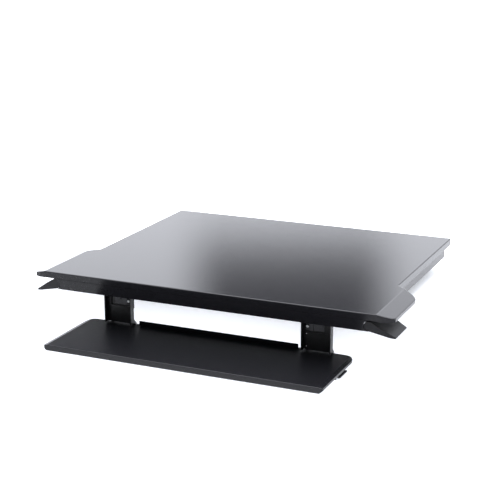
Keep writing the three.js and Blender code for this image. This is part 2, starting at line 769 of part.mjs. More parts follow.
function paddleBracket() {
  const top = trayBottomZ - joinGap;
  const plate = box([paddleAxis.x - 22, paddleAxis.x - 5.5], [paddleY[0] - 6, paddleY[1] + 6], [top - 2, top]);
  const ears = [[paddleY[0] - 6, paddleY[0] - 1], [paddleY[1] + 1, paddleY[1] + 6]].map((y) => prismY(
    linkShape([paddleAxis.x - 14, top - 3.5], [paddleAxis.x, paddleAxis.z], 3.5, 4.5), y, 5));
  const bore = rodY(2 + runningGap, [paddleY[0] - 9, paddleY[1] + 9], paddleAxis.x, paddleAxis.z, 5);
  return cut(joined(plate, ...ears), bore);
}

function tiltReleaseBar() {
  const headStart = paddleAxis.x + tailHalfLength + 0.8;
  const bar = rodX(releaseBarRadius, [-uprightX - 6, headStart + 1], releaseBar.y, releaseBar.z, 5);
  const head = rodX(4.4, [headStart, headStart + 3], releaseBar.y, releaseBar.z, 6);
  const fingers = sides.map(([, side]) => box(
    [side * uprightX - 3, side * uprightX + 3],
    [releaseBar.y - 1, tiltAxis.y],
    [releaseBar.z - 1.2, releaseBar.z + 1.2]));
  return joined(bar, head, ...fingers);
}

function barGuide(x) {
  const block = box([x - 5, x + 5], [releaseBar.y - 6, releaseBar.y + 6], [releaseBar.z - 5, trayBottomZ - joinGap]);
  return cut(block, rodX(releaseBarRadius + runningGap, [x - 6, x + 6], releaseBar.y, releaseBar.z, 5));
}

addPart('tilt_paddle', tiltPaddle(), blackPaint);
addPart('paddle_bracket', paddleBracket(), greyPaint);
addPart('tilt_release_bar', tiltReleaseBar(), zinc);
addPart('bar_guide', barGuide(-120), nylon);

export default part;
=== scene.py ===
"""Looks for a standing desk converter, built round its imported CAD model.

Metres, +Z up, -Y towards the user. z = 0 is the surface the base stands on.
"""

import json
import math

import bmesh
import bpy
from mathutils import Matrix, Vector

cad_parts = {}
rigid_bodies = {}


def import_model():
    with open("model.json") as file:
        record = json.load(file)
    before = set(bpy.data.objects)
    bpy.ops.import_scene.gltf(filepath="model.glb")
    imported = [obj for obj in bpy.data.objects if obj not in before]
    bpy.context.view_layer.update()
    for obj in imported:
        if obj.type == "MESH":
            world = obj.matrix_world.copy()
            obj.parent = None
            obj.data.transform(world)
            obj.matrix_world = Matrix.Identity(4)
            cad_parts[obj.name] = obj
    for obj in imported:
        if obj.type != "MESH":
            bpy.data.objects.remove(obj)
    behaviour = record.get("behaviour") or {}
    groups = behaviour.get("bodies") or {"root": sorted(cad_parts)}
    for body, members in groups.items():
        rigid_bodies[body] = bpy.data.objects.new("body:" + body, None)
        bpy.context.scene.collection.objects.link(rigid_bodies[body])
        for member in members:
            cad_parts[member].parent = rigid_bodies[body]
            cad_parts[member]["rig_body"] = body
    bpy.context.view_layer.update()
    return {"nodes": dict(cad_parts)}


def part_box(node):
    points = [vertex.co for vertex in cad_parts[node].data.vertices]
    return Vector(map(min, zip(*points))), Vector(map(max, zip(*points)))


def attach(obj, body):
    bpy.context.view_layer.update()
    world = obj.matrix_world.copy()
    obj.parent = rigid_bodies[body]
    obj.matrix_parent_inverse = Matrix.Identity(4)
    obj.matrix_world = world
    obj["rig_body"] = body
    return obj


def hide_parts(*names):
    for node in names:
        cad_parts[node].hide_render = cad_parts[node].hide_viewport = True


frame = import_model()

SIDES = {"left": -1, "right": 1}
SHARP_ANGLE = math.radians(38)

# ---------------------------------------------------------------- camera

CAMERA_AZIMUTH = math.radians(24.02)
CAMERA_ELEVATION = math.radians(15.58)
CAMERA_ROLL = math.radians(-0.22)
CAMERA_DISTANCE = 3.0298
CAMERA_LENS = 91.77                  # millimetres, on a sensor 36 wide
CAMERA_AIM = Vector((0.0353, 0.0, 0.1324))


def make_camera():
    data = bpy.data.cameras.new("camera")
    data.lens = CAMERA_LENS
    data.sensor_width = 36
    camera = bpy.data.objects.new("camera", data)
    bpy.context.scene.collection.objects.link(camera)
    back = Vector((
        math.sin(CAMERA_AZIMUTH) * math.cos(CAMERA_ELEVATION),
        -math.cos(CAMERA_AZIMUTH) * math.cos(CAMERA_ELEVATION),
        math.sin(CAMERA_ELEVATION),
    ))
    camera.location = CAMERA_AIM + back * CAMERA_DISTANCE
    turn = (Matrix.Rotation(CAMERA_AZIMUTH, 3, "Z")
            @ Matrix.Rotation(math.pi / 2 - CAMERA_ELEVATION, 3, "X")
            @ Matrix.Rotation(CAMERA_ROLL, 3, "Z"))
    camera.rotation_euler = turn.to_euler()
    bpy.context.scene.camera = camera


make_camera()

# ---------------------------------------------------------------- shader helpers


class Nodes:
    """A node tree with short calls for adding and joining nodes."""

    def __init__(self, tree):
        self.tree = tree

    def add(self, kind, links=(), values=(), **settings):
        node = self.tree.nodes.new(kind)
        for key, value in settings.items():
            setattr(node, key, value)
        for socket, value in dict(values).items():
            node.inputs[socket].default_value = value
        for socket, source in dict(links).items():
            self.tree.links.new(source, node.inputs[socket])
        return node

    def between(self, factor, low, high, start=0.3, end=0.7, curve="LINEAR"):
        """A number that goes from low to high as factor goes from start to end."""
        node = self.add(
            "ShaderNodeMapRange", {"Value": factor},
            {"From Min": start, "From Max": end, "To Min": low, "To Max": high}, interpolation_type=curve)
        return node.outputs["Result"]

    def total(self, first, second, share=1.0):
        node = self.add("ShaderNodeMath", {0: second, 2: first}, {1: share}, operation="MULTIPLY_ADD")
        return node.outputs["Value"]

    def along(self, facing, axis):
        """How far a direction points along an axis."""
        node = self.add("ShaderNodeVectorMath", {0: facing}, {1: axis}, operation="DOT_PRODUCT")
        return node.outputs["Value"]

    def product(self, first, second):
        node = self.add("ShaderNodeMath", {0: first, 1: second}, operation="MULTIPLY")
        return node.outputs["Value"]


class Shader(Nodes):
    """A material's own nodes, feeding its Principled BSDF."""

    def __init__(self, name):
        self.material = bpy.data.materials.new(name)
        self.material.use_nodes = True
        super().__init__(self.material.node_tree)
        self.bsdf = self.tree.nodes["Principled BSDF"]
        self.place = self.add("ShaderNodeTexCoord").outputs["Object"]

    def stretched(self, scale):
        """The surface's own coordinates, scaled differently along x, y and z."""
        node = self.add("ShaderNodeMapping", {"Vector": self.place}, {"Scale": scale})
        return node.outputs["Vector"]

    def noise(self, per_metre, detail=2.0, place=None):
        node = self.add(
            "ShaderNodeTexNoise", {"Vector": place or self.place}, {"Scale": per_metre, "Detail": detail})
        return node.outputs["Fac"]

    def cells(self, per_metre, place=None):
        node = self.add(
            "ShaderNodeTexVoronoi", {"Vector": place or self.place}, {"Scale": per_metre},
            feature="SMOOTH_F1")
        return node.outputs["Distance"]

    def colours(self, factor, first, second, start=0.3, end=0.7):
        ramp = self.add("ShaderNodeValToRGB", {"Fac": factor})
        for element, position, colour in zip(ramp.color_ramp.elements, (start, end), (first, second)):
            element.position = position
            element.color = (*colour, 1)
        return ramp.outputs["Color"]

    def feed(self, socket, source):
        self.tree.links.new(source, self.bsdf.inputs[socket])

    def set(self, **values):
        for socket, value in values.items():
            self.bsdf.inputs[socket.replace("_", " ")].default_value = value

    def bump(self, height, depth):
        node = self.add("ShaderNodeBump", {"Height": height}, {"Strength": 1.0, "Distance": depth})
        self.feed("Normal", node.outputs["Normal"])


# ---------------------------------------------------------------- materials, one for each slot

def laminate(name, roughness, dark, light, refraction):
    """Satin laminate: a fine pebbled skin with an even sheen and a few hair scratches."""
    shader = Shader(name)
    pebbles = shader.noise(950, 3)
    scratches = shader.noise(90, 6, shader.stretched((1, 22, 1)))
    shader.feed("Base Color", shader.colours(shader.noise(240, 4), dark, light))
    shader.feed("Roughness", shader.between(scratches, roughness - 0.01, roughness + 0.015, 0.4, 0.7))
    shader.bump(pebbles, 0.00002)
    shader.set(IOR=refraction)
    return shader.material


def moulded_plastic(name, roughness, dark, light, grain=1100, depth=0.00006):
    """Moulded plastic with an even spark-eroded grain."""
    shader = Shader(name)
    grains = shader.cells(grain)
    clouds = shader.noise(14, 3)
    shader.feed("Base Color", shader.colours(clouds, dark, light))
    shader.feed("Roughness", shader.between(grains, roughness - 0.05, roughness + 0.06, 0.1, 0.7))
    shader.bump(grains, depth)
    shader.set(IOR=1.28)
    return shader.material


def powder_coat(name, roughness, dark, light, coat=0.0):
    """Baked paint on steel: soft orange peel under a fine speckle."""
    shader = Shader(name)
    peel = shader.noise(420, 2)
    speckle = shader.cells(1600)
    clouds = shader.noise(11, 3)
    shader.feed("Base Color", shader.colours(clouds, dark, light))
    shader.feed("Roughness", shader.between(speckle, roughness - 0.05, roughness + 0.06, 0.1, 0.7))
    shader.bump(shader.total(peel, speckle, 0.4), 0.00007)
    shader.set(IOR=1.38, Coat_Weight=coat, Coat_Roughness=0.08)
    return shader.material


def bare_metal(name, roughness, dark, light, streaks=(1, 1, 1), depth=0.000012):
    """Plated or ground steel: fine tool marks along it, with cloudy variation in its shine."""
    shader = Shader(name)
    marks = shader.noise(700, 3, shader.stretched(streaks))
    clouds = shader.noise(35, 4)
    shader.feed("Base Color", shader.colours(clouds, dark, light))
    worn = shader.total(clouds, marks, 0.5)
    shader.feed("Roughness", shader.between(worn, roughness - 0.06, roughness + 0.1, 0.5, 1.0))
    shader.bump(marks, depth)
    shader.set(Metallic=1.0)
    return shader.material


def nylon(name):
    """Natural nylon, slightly waxy, with faint machining marks."""
    shader = Shader(name)
    marks = shader.noise(500, 2, shader.stretched((6, 1, 1)))
    clouds = shader.noise(60, 3)
    shader.feed("Base Color", shader.colours(clouds, (0.66, 0.64, 0.58), (0.78, 0.77, 0.72)))
    shader.feed("Roughness", shader.between(marks, 0.42, 0.58))
    shader.bump(marks, 0.00003)
    shader.set(Subsurface_Weight=0.15, Subsurface_Scale=0.002)
    return shader.material


def rubber(name, ribs_per_metre=None):
    """Dull black rubber with a dusty bloom, and moulded ribs where it grips."""
    shader = Shader(name)
    dust = shader.noise(90, 5)
    grain = shader.noise(1300, 2)
    shader.feed("Base Color", shader.colours(dust, (0.009, 0.009, 0.009), (0.02, 0.02, 0.021)))
    shader.feed("Roughness", shader.between(dust, 0.7, 0.9))
    height = grain
    if ribs_per_metre:
        ribs = shader.add(
            "ShaderNodeTexWave", {"Vector": shader.place}, {"Scale": ribs_per_metre / 20},
            bands_direction="Y")
        height = shader.total(grain, ribs.outputs["Fac"], 3.0)
    shader.bump(height, 0.0001)
    return shader.material


BLACK = [(0.008, 0.008, 0.0095), (0.011, 0.011, 0.013)]
MATERIALS = {
    "laminate_black": laminate("laminate_finish", 0.11, *BLACK, 1.42),
    "fascia_black": laminate("fascia_finish", 0.2, *BLACK, 1.3),
    "plastic_black": moulded_plastic(
        "lever_finish", 0.45, (0.007, 0.007, 0.008), (0.011, 0.011, 0.012)),
    "steel_black": powder_coat(
        "black_paint_finish", 0.32, (0.006, 0.006, 0.0065), (0.0095, 0.0095, 0.0105)),
    "spring_black": powder_coat(
        "gloss_paint_finish", 0.25, (0.008, 0.008, 0.009), (0.012, 0.012, 0.013), 0.6),
    "steel_grey": powder_coat(
        "grey_paint_finish", 0.45, (0.048, 0.049, 0.052), (0.062, 0.063, 0.067)),
    "steel_zinc": bare_metal(
        "zinc_finish", 0.3, (0.46, 0.47, 0.48), (0.6, 0.61, 0.62), (0.15, 1, 1)),
    "steel_polished": bare_metal(
        "polished_finish", 0.12, (0.62, 0.63, 0.65), (0.72, 0.73, 0.75), (1, 8, 1), 0.000004),
    "nylon_white": nylon("nylon_finish"),
    "rubber_black": rubber("rubber_finish", 250),
    "cable_black": rubber("cable_finish"),
}
EDGE_FINISH = laminate("edge_finish", 0.2, *BLACK, 1.3)
# Two copies of one tray laminate: a darker colour on the level faces is painted shade, and a lighter
# colour on the edges and sloping ends is a painted highlight, beside their real difference in gloss.
TRAY_PAINTED_SHADE_FINISH = laminate("tray_painted_shade_finish", 0.42, (0.005, 0.005, 0.006), (0.007, 0.007, 0.0085), 1.14)
TRAY_EDGE_PAINTED_HIGHLIGHT_FINISH = laminate(
    "tray_edge_painted_highlight_finish", 0.2, (0.006, 0.006, 0.0075), (0.0085, 0.0085, 0.01), 1.38)
SCREW_METAL = bare_metal("screw_finish", 0.3, (0.72, 0.73, 0.74), (0.85, 0.86, 0.87))

# ---------------------------------------------------------------- piece helpers


# The record's material slot that each CAD node is in is its imported material's name.
SLOTS = {name: node.data.materials[0].name for name, node in frame["nodes"].items()}


def finish_piece(name, mesh, body, slot, material):
    for polygon in mesh.polygons:
        polygon.use_smooth = True
    mesh.set_sharp_from_angle(angle=SHARP_ANGLE)
    mesh.materials.append(material or MATERIALS[slot])
    piece = bpy.data.objects.new(name, mesh)
    bpy.context.scene.collection.objects.link(piece)
    normals = piece.modifiers.new("even_shading", "WEIGHTED_NORMAL")
    normals.keep_sharp = True
    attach(piece, body)
    return piece


def extra_piece(name, bm, like, material=None):
    """A piece with no CAD node of its own: it rides with the node it is fixed to."""
    bmesh.ops.recalc_face_normals(bm, faces=bm.faces)
    mesh = bpy.data.meshes.new(name)
    bm.to_mesh(mesh)
    bm.free()
    return finish_piece(name, mesh, frame["nodes"][like]["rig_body"], SLOTS[like], material)


def stand_in(node, bm, material=None):
    """A detailed piece that replaces one CAD node, on its body and with its slot's material unless another
    is given.
    """
    piece = extra_piece(node + "_detailed", bm, node, material)
    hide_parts(node)
    return piece


def grid_faces(bm, rings, closed=True):
    """Joins neighbouring rings of vertices with quads."""
    for lower, upper in zip(rings, rings[1:]):
        count = len(lower)
        for index in range(count if closed else count - 1):
            following = (index + 1) % count
            bm.faces.new((lower[index], lower[following], upper[following], upper[index]))


def rounded_copy(node, width, segments=2):
    """A CAD node's shape with its facets merged into whole faces and its edges rounded."""
    bm = bmesh.new()
    bm.from_mesh(frame["nodes"][node].data)
    bmesh.ops.remove_doubles(bm, verts=bm.verts, dist=2e-6)
    bmesh.ops.dissolve_limit(bm, angle_limit=math.radians(1), verts=bm.verts, edges=bm.edges)
    edges = [edge for edge in bm.edges if edge.is_manifold and edge.calc_face_angle() > SHARP_ANGLE]
    bmesh.ops.bevel(
        bm, geom=edges, offset=width, offset_type="OFFSET", segments=segments, profile=0.5,
        affect="EDGES", clamp_overlap=True)
    return bm


def turned(profile, centre, axis="X", segments=36):
    """A turned body. The profile is (distance along the axis, radius) pairs from end to end."""
    bm = bmesh.new()
    along = "XYZ".index(axis)
    across = [index for index in range(3) if index != along]
    rings = []
    for distance, radius in profile:
        ring = []
        for step in range(segments):
            angle = 2 * math.pi * step / segments
            point = list(centre)
            point[along] = distance
            point[across[0]] += radius * math.cos(angle)
            point[across[1]] += radius * math.sin(angle)
            ring.append(bm.verts.new(point))
        rings.append(ring)
    grid_faces(bm, rings)
    bm.faces.new(rings[0])
    bm.faces.new(rings[-1])
    return bm


def rod_profile(start, end, radius, chamfer, grooves=()):
    """A plain rod with chamfered ends, and a shallow turned groove at each place along it."""
    profile = [(start, radius - chamfer), (start + chamfer, radius)]
    for place in sorted(grooves):
        half = 0.0006
        depth = 0.0007
        profile += [
            (place - half, radius), (place - half, radius - depth),
            (place + half, radius - depth), (place + half, radius),
        ]
    return profile + [(end - chamfer, radius), (end, radius - chamfer)]


def rod_in_place_of(node, chamfer=0.0006, groove_inset=None):
    """A round rod along X that fills a CAD rod's box."""
    low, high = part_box(node)
    centre = (low + high) / 2
    radius = (high.z - low.z) / 2
    grooves = [] if groove_inset is None else [low.x + groove_inset, high.x - groove_inset]
    stand_in(node, turned(rod_profile(low.x, high.x, radius, chamfer, grooves), centre))


def screw(name, place, facing, radius, like, material=None):
    """A button-head screw with a hexagon socket. place is on the surface; facing is the way it looks."""
    bm = bmesh.new()
    segments = 36
    height = radius * 0.5
    socket = radius * 0.5
    rings_at = [(radius * 0.96, 0), (radius, height * 0.25), (radius * 0.9, height * 0.7),
                (radius * 0.68, height), (None, height), (None, height * 0.25)]
    rings = []
    for ring_radius, up in rings_at:
        ring = []
        for step in range(segments):
            angle = 2 * math.pi * step / segments
            to_flat = (angle + math.pi / 6) % (math.pi / 3) - math.pi / 6
            size = ring_radius or socket / math.cos(to_flat)
            ring.append(bm.verts.new((size * math.cos(angle), size * math.sin(angle), up)))
        rings.append(ring)
    grid_faces(bm, rings)
    bm.faces.new(rings[0])
    bm.faces.new(rings[-1])
    turn = Vector(facing).to_track_quat("Z", "Y").to_matrix().to_4x4()
    bmesh.ops.transform(bm, matrix=Matrix.Translation(place) @ turn, verts=bm.verts)
    extra_piece(name, bm, like, material or SCREW_METAL)


def bezier(points, steps):
    """Points along a Bezier curve of any degree, without its first point."""
    path = []
    for step in range(1, steps + 1):
        t = step / steps
        level = [Vector(point) for point in points]
        while len(level) > 1:
            level = [a.lerp(b, t) for a, b in zip(level, level[1:])]
        path.append(level[0])
    return path


def inset_outline(outline, distance):
    """The outline moved inwards by distance. It runs anticlockwise."""
    count = len(outline)
    moved = []
    for index, point in enumerate(outline):
        before = (point - outline[index - 1]).normalized()
        after = (outline[(index + 1) % count] - point).normalized()
        inward_before = Vector((-before.y, before.x))
        inward_after = Vector((-after.y, after.x))
        mitre = (inward_before + inward_after).normalized()
        moved.append(point + mitre * (distance / max(mitre.dot(inward_before), 0.3)))
    return moved


def board(outline, low, high, top_radius, bottom_radius, cuts, steps=4):
    """A flat board with rounded edges, cut into strips at the given x so that it can be bent there."""
    bm = bmesh.new()
    levels = []
    for step in range(steps + 1):
        angle = math.pi / 2 * step / steps
        levels.append((bottom_radius * (1 - math.sin(angle)), low + bottom_radius * (1 - math.cos(angle))))
    for step in range(steps + 1):
        angle = math.pi / 2 * step / steps
        levels.append((top_radius * (1 - math.cos(angle)), high - top_radius * (1 - math.sin(angle))))
    rings = [
        [bm.verts.new((point.x, point.y, z)) for point in inset_outline(outline, inset)]
        for inset, z in levels
    ]
    grid_faces(bm, rings)
    bm.faces.new(reversed(rings[0]))
    bm.faces.new(rings[-1])
    for cut in cuts:
        for side in SIDES.values():
            bmesh.ops.bisect_plane(
                bm, geom=bm.verts[:] + bm.edges[:] + bm.faces[:], dist=1e-7,
                plane_co=(side * cut, 0, 0), plane_no=(1, 0, 0))
    return bm


def edge_faces(bm, level):
    """Gives the second material to the faces less level than this, where 1 is flat and 0 upright."""
    bm.normal_update()
    for face in bm.faces:
        face.material_index = int(abs(face.normal.z) < level)


def crisp_seams(mesh):
    """Makes the shading break where two materials meet."""
    materials_at = {}
    for polygon in mesh.polygons:
        for key in polygon.edge_keys:
            materials_at.setdefault(key, set()).add(polygon.material_index)
    for edge in mesh.edges:
        if len(materials_at[edge.key]) > 1:
            edge.use_edge_sharp = True


# ---------------------------------------------------------------- worksurface and fascia

TOP_LOW, TOP_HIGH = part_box("worksurface")
SLAB_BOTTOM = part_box("platform_cross_plate_front")[1].z
FRONT_LEAN = 16 / 46                 # how far the front face leans in per metre of depth
CREASE_X = 0.417                     # where the wings begin
WING_BEND_HALF = 0.002               # half the width of the bend there
WING_DROP = 0.010
WING_TIP_THICKNESS = 0.0085
EDGE_RADIUS = 0.003
EDGE_BAND_LEVEL = 0.6                # faces less level than this have the edge band's finish


def front_face_y(z):
    return TOP_LOW.y + FRONT_LEAN * (TOP_HIGH.z - z)


def worksurface_outline():
    """A rectangle with a wing at each front corner, run out to the back in an S-curve."""
    front, back, tip = TOP_LOW.y, TOP_HIGH.y, TOP_HIGH.x
    wing_back = front + 0.190
    notch = front + 0.227
    half_width = 0.395
    corner = 0.006
    half = [Vector((0, front)), Vector((CREASE_X - 0.007, front))]
    half += bezier([(CREASE_X - 0.007, front), (CREASE_X + 0.011, front + 0.002),
                    (tip - 0.014, front + 0.009), (tip - 0.006, front + 0.013)], 10)
    half += bezier([(tip - 0.006, front + 0.013), (tip, front + 0.017), (tip, front + 0.026)], 8)
    half += bezier([(tip, front + 0.026), (tip, wing_back - 0.032)], 2)
    half += bezier([(tip, wing_back - 0.032), (tip, wing_back - 0.019),
                    (tip - 0.004, wing_back - 0.013)], 8)
    half += bezier([(tip - 0.004, wing_back - 0.013), (tip - 0.014, wing_back + 0.003),
                    (CREASE_X + 0.009, wing_back + 0.009), (CREASE_X - 0.001, wing_back + 0.016)], 12)
    half += bezier([(CREASE_X - 0.001, wing_back + 0.016), (CREASE_X - 0.010, wing_back + 0.024),
                    (half_width + 0.004, notch - 0.006), (half_width, notch)], 8)
    half += bezier([(half_width, notch), (half_width, back - corner)], 2)
    half += bezier([(half_width, back - corner), (half_width, back), (half_width - corner, back)], 6)
    half += [Vector((0, back))]
    other_half = [Vector((-point.x, point.y)) for point in half[-2:0:-1]]
    return half + other_half


def wing_drop_at(x):
    """How far the top has sloped down at x: level, then a short bend, then a straight slope."""
    slope = WING_DROP / (TOP_HIGH.x - CREASE_X)
    past = abs(x) - CREASE_X
    if past < -WING_BEND_HALF:
        return 0.0
    if past < WING_BEND_HALF:
        return slope * (past + WING_BEND_HALF) ** 2 / (4 * WING_BEND_HALF)
    return slope * past


def underside_at(x):
    tip_bottom = TOP_HIGH.z - WING_DROP - WING_TIP_THICKNESS
    share = max(0.0, (abs(x) - CREASE_X) / (TOP_HIGH.x - CREASE_X))
    return SLAB_BOTTOM + (tip_bottom - SLAB_BOTTOM) * share


def make_worksurface():
    cuts = [CREASE_X + WING_BEND_HALF * share for share in (-1, -0.5, 0, 0.5, 1)]
    bm = board(worksurface_outline(), SLAB_BOTTOM, TOP_HIGH.z, EDGE_RADIUS, 0.0004, cuts)
    thickness = TOP_HIGH.z - SLAB_BOTTOM
    for vertex in bm.verts:
        share = (vertex.co.z - SLAB_BOTTOM) / thickness
        low = underside_at(vertex.co.x)
        high = TOP_HIGH.z - wing_drop_at(vertex.co.x)
        vertex.co.z = low + (high - low) * share
        vertex.co.y = max(vertex.co.y, front_face_y(vertex.co.z))
    edge_faces(bm, EDGE_BAND_LEVEL)
    worksurface = stand_in("worksurface", bm)
    worksurface.data.materials.append(EDGE_FINISH)


def make_fascia():
    """A channel that carries on the worksurface's front face, hollowed at its ends for the levers."""
    stand_in("front_fascia", rounded_copy("front_fascia", 0.0002, 1))


# ---------------------------------------------------------------- keyboard tray

TRAY_LOW, TRAY_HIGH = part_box("keyboard_tray")
LIP_HEIGHT = 0.010
LIP_THICKNESS = 0.003
LIP_TO_UPRIGHT = 0.013
TRAY_TOP = TRAY_HIGH.z - LIP_HEIGHT
TRAY_FRONT_CORNER = 0.007
TRAY_BACK_CORNER = 0.030
TRAY_BEVEL = 0.0095
TRAY_BEVEL_SLOPE = 0.2
TRAY_UNDERCUT = 0.008
TRAY_UNDERCUT_HEIGHT = 0.006
TRAY_EDGE_LEVEL = 0.99               # faces less level than this have the edge's smoother finish, in a lighter colour that paints a highlight; the level faces keep a darker colour, painted shade


def rounded_corner(corner, radius, start, end, steps=8):
    """A quarter turn round corner, from the point radius away towards start to that towards end."""
    corner = Vector(corner)
    first = corner + Vector(start) * radius
    last = corner + Vector(end) * radius
    return [first] + bezier([first, corner, last], steps)


def tray_outline():
    x, front, back = TRAY_HIGH.x, TRAY_LOW.y, TRAY_HIGH.y
    outline = rounded_corner((x, front), TRAY_FRONT_CORNER, (-1, 0), (0, 1))
    outline += rounded_corner((x, back), TRAY_BACK_CORNER, (0, -1), (-1, 0))
    outline += rounded_corner((-x, back), TRAY_BACK_CORNER, (1, 0), (0, -1))
    outline += rounded_corner((-x, front), TRAY_FRONT_CORNER, (0, 1), (1, 0))
    return outline


def tray_drop_at(x):
    """How far the tray's top has sloped down near its left and right ends."""
    return TRAY_BEVEL_SLOPE * max(0.0, abs(x) - (TRAY_HIGH.x - TRAY_BEVEL))


def tray_rise_at(x):
    """How far the tray's underside has sloped up near its left and right ends."""
    past = abs(x) - (TRAY_HIGH.x - TRAY_UNDERCUT)
    return TRAY_UNDERCUT_HEIGHT * max(0.0, past) / TRAY_UNDERCUT


def make_tray():
    cuts = [TRAY_HIGH.x - TRAY_BEVEL, TRAY_HIGH.x - TRAY_UNDERCUT]
    bm = board(tray_outline(), TRAY_LOW.z, TRAY_TOP, 0.0014, 0.0014, cuts)
    thickness = TRAY_TOP - TRAY_LOW.z
    for vertex in bm.verts:
        share = (vertex.co.z - TRAY_LOW.z) / thickness
        vertex.co.z += tray_rise_at(vertex.co.x) * (1 - share) - tray_drop_at(vertex.co.x) * share
    # Level faces take the darker copy, painted shade; edges and sloping ends take the lighter copy,
    # painted highlight.
    edge_faces(bm, TRAY_EDGE_LEVEL)
    tray = stand_in("keyboard_tray", bm, TRAY_PAINTED_SHADE_FINISH)
    tray.data.materials.append(TRAY_EDGE_PAINTED_HIGHLIGHT_FINISH)
    crisp_seams(tray.data)
    make_tray_lip()


def make_tray_lip():
    """The low strip along the tray's back edge, between the uprights."""
    half_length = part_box("upright_right")[0].x - LIP_TO_UPRIGHT
    low = Vector((-half_length, TRAY_HIGH.y - LIP_THICKNESS, TRAY_TOP - 0.001))
    high = Vector((half_length, TRAY_HIGH.y, TRAY_HIGH.z))
    # The lip takes the tray's darker copy, painted shade.
    extra_piece("tray_lip", block(low, high, 0.0007), "keyboard_tray", TRAY_PAINTED_SHADE_FINISH)


def block(low, high, radius, segments=3):
    """A rectangular bar with rounded edges."""
    bm = bmesh.new()
    bmesh.ops.create_cube(bm, size=1)
    size = high - low
    bmesh.ops.transform(
        bm, matrix=Matrix.Translation((low + high) / 2) @ Matrix.Diagonal((*size, 1)), verts=bm.verts)
    bmesh.ops.bevel(
        bm, geom=bm.edges[:], offset=radius, segments=segments, profile=0.5, affect="EDGES")
    return bm


# ---------------------------------------------------------------- sheet metal, arms and brackets

ROUNDED = {
    0.0010: ["lift_lever"],
    0.0006: ["side_skirt", "platform_rail", "base_rail", "outer_arm", "inner_arm", "crank",
             "spring_bracket", "lever_bracket", "upright", "upright_sleeve", "tray_hinge_leaf"],
    0.0004: ["height_clamp", "release_rocker", "gas_spring_cylinder"],
}
ROUNDED_SINGLE = {
    0.0006: ["rear_skirt", "platform_cross_plate_front", "platform_cross_plate_rear",
             "base_cross_plate_front", "base_cross_plate_rear"],
    0.0004: ["paddle_bracket", "tilt_release_bar", "bar_guide"],
    0.0008: ["tilt_paddle", "foot_strip_front", "foot_strip_rear"],
}


def make_rounded_parts():
    for width, names in ROUNDED.items():
        for name in names:
            for side in SIDES:
                stand_in(f"{name}_{side}", rounded_copy(f"{name}_{side}", width))
    for width, names in ROUNDED_SINGLE.items():
        for name in names:
            stand_in(name, rounded_copy(name, width))


# ---------------------------------------------------------------- shafts, pins and rollers

def make_rollers():
    """Nylon rollers with a chamfered tread and a raised hub."""
    for level in ("upper", "lower"):
        for side in SIDES:
            node = f"{level}_roller_{side}"
            low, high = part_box(node)
            centre = (low + high) / 2
            radius = (high.z - low.z) / 2
            width = high.x - low.x
            bore = 0.0042
            profile = [
                (low.x, bore), (low.x, radius * 0.62), (low.x + width * 0.06, radius * 0.7),
                (low.x + width * 0.06, radius * 0.9), (low.x + width * 0.14, radius),
                (high.x - width * 0.14, radius), (high.x - width * 0.06, radius * 0.9),
                (high.x - width * 0.06, radius * 0.7), (high.x, radius * 0.62), (high.x, bore),
            ]
            stand_in(node, turned(profile, centre))


def make_rods():
    for node in ("upper_roller_shaft", "lower_roller_shaft"):
        rod_in_place_of(node, 0.0006, 0.0028)
    rod_in_place_of("torsion_tube", 0.0008)
    rod_in_place_of("tilt_hinge_rod", 0.0008, 0.002)
    for side in SIDES:
        rod_in_place_of(f"middle_pivot_pin_{side}", 0.0008)
        make_lever_pin(f"lever_pin_{side}")
        make_spring_rod(f"gas_spring_rod_{side}")


def make_lever_pin(node):
    low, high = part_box(node)
    centre = (low + high) / 2
    radius = (high.z - low.z) / 2
    stand_in(node, turned(rod_profile(low.y, high.y, radius, 0.0005, [high.y - 0.0015]), centre, "Y", 28))


def make_spring_rod(node):
    """The gas spring's polished rod and, inside the cylinder, its piston."""
    low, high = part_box(node)
    centre = (low + high) / 2
    piston = (high.z - low.z) / 2
    rod = 0.004
    profile = [
        (low.y, rod - 0.0006), (low.y + 0.0006, rod), (high.y - 0.006, rod),
        (high.y - 0.006, piston - 0.0004), (high.y - 0.0056, piston),
        (high.y - 0.0004, piston), (high.y, piston - 0.0004),
    ]
    stand_in(node, turned(profile, centre, "Y"))


# ---------------------------------------------------------------- release cables

CABLE_RADIUS = 0.002
CABLE_ROUTE = [
    (0.382, -0.112, 0.0385), (0.366, -0.104, 0.040), (0.334, -0.084, 0.048), (0.290, -0.064, 0.0543),
    (0.220, -0.056, 0.0543), (0.172, -0.044, 0.0543), (0.151, -0.016, 0.0543), (0.150, 0.020, 0.0543),
    (0.150, 0.060, 0.0546), (0.150, 0.110, 0.058), (0.150, 0.180, 0.0585), (0.150, 0.247, 0.0585),
]


def smooth_path(points, steps):
    """A Catmull-Rom curve through the points."""
    points = [Vector(point) for point in points]
    ends = [points[0] * 2 - points[1], *points, points[-1] * 2 - points[-2]]
    path = [points[0]]
    for a, b, c, d in zip(ends, ends[1:], ends[2:], ends[3:]):
        for step in range(1, steps + 1):
            t = step / steps
            path.append(0.5 * (
                2 * b + (c - a) * t
                + (2 * a - 5 * b + 4 * c - d) * t ** 2
                + (3 * b - a - 3 * c + d) * t ** 3))
    return path


def tube(path, radius, segments=14):
    """A round tube along a path."""
    bm = bmesh.new()
    rings = []
    side = Vector((0, 0, 1))
    for index, point in enumerate(path):
        ahead = (path[min(index + 1, len(path) - 1)] - path[max(index - 1, 0)]).normalized()
        side = (side - ahead * side.dot(ahead)).normalized()
        other = ahead.cross(side)
        ring = []
        for step in range(segments):
            angle = 2 * math.pi * step / segments
            ring.append(bm.verts.new(point + radius * (side * math.cos(angle) + other * math.sin(angle))))
        rings.append(ring)
    grid_faces(bm, rings)
    bm.faces.new(rings[0])
    bm.faces.new(rings[-1])
    return bm


